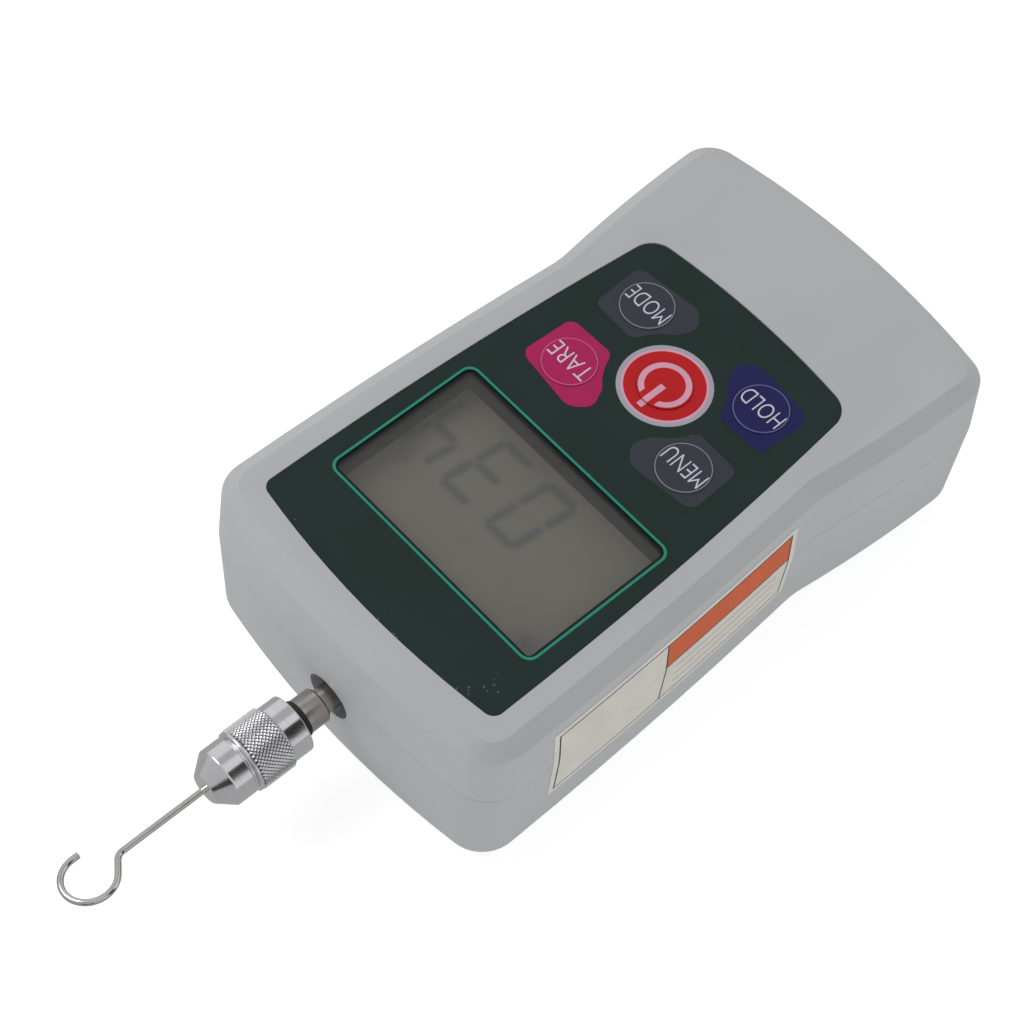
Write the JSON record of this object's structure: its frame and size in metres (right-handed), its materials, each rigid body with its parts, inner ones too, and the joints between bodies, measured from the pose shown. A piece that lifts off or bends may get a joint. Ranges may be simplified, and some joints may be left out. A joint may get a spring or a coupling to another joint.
{
  "type": "force gauge",
  "caption": "Handheld digital force gauge with a waisted grey case, sunk display, round keys and a wire hook on a knurled adapter.",
  "frame": {"origin": "centre of the four threaded stand holes, on the back face of the case", "axes": "+Z from the back face towards the display, +Y along the measuring axis towards the hook, +X to the left as the display is read"},
  "size_m": [0.0748, 0.1863, 0.0386],
  "materials": {
    "case_grey": "fine satin texture",
    "panel_green": "satin printed film",
    "clear_window": "clear",
    "dark_plastic": "matt",
    "lcd_grey": "satin",
    "white_plastic": "matt",
    "board_green": "satin",
    "steel": "bright",
    "dark_steel": "turned",
    "alloy": "turned",
    "black_ring": "matt",
    "battery_blue": "shrink film",
    "lead_black": "satin",
    "key_red": "satin",
    "key_pink": "satin",
    "key_blue": "satin",
    "key_grey": "satin"
  },
  "bodies": {
    "housing": {"upper_case": "case_grey", "lower_case": "case_grey", "front_overlay": "panel_green", "display_window": "clear_window", "display_bezel": "dark_plastic", "lcd_glass": "lcd_grey", "lcd_backlight": "white_plastic", "main_board": "board_green", "board_chips": "dark_plastic", "key_switches": "dark_plastic", "buzzer": "dark_plastic", "charge_socket": "steel", "chassis_plate": "alloy", "load_cell": "alloy", "load_cell_screw": "steel", "battery_pack": "battery_blue", "sensor_lead": "lead_black", "battery_leads": "lead_black", "case_screws": "steel", "board_screws": "steel", "chassis_screws": "steel"},
    "rod": {"sensor_rod": "dark_steel"},
    "ring": {"rod_ring": "black_ring"},
    "adapter": {"hook_adapter": "alloy", "wire_hook": "steel"},
    "power_key_body": {"power_key": "key_red"},
    "tare_key_body": {"tare_key": "key_pink"},
    "mode_key_body": {"mode_key": "key_grey"},
    "hold_key_body": {"hold_key": "key_blue"},
    "menu_key_body": {"menu_key": "key_grey"}
  },
  "joints": [
    {"name": "rod_slide", "type": "slide", "parent": "housing", "child": "rod", "axis": [0, 1, 0], "range_m": [-0.0003, 0.0003], "stiffness_N_per_m": 5000},
    {"name": "ring_advance", "type": "slide", "parent": "rod", "child": "ring", "axis": [0, 1, 0], "range_m": [0, 0.005]},
    {"name": "adapter_turn", "type": "hinge", "parent": "ring", "child": "adapter", "pos_m": [0, 0.07165, 0.0162], "axis": [0, 1, 0], "range_deg": [0, 1800]},
    {"name": "power_press", "type": "slide", "parent": "housing", "child": "power_key_body", "axis": [0, 0, -1], "range_m": [0, 0.0003], "stiffness_N_per_m": 2000},
    {"name": "tare_press", "type": "slide", "parent": "housing", "child": "tare_key_body", "axis": [0, 0, -1], "range_m": [0, 0.0003], "stiffness_N_per_m": 2000},
    {"name": "mode_press", "type": "slide", "parent": "housing", "child": "mode_key_body", "axis": [0, 0, -1], "range_m": [0, 0.0003], "stiffness_N_per_m": 2000},
    {"name": "hold_press", "type": "slide", "parent": "housing", "child": "hold_key_body", "axis": [0, 0, -1], "range_m": [0, 0.0003], "stiffness_N_per_m": 2000},
    {"name": "menu_press", "type": "slide", "parent": "housing", "child": "menu_key_body", "axis": [0, 0, -1], "range_m": [0, 0.0003], "stiffness_N_per_m": 2000}
  ],
  "couplings": [
    {"joint": "ring_advance", "follows": "adapter_turn", "m_per_rad": 0.00015915}
  ]
}
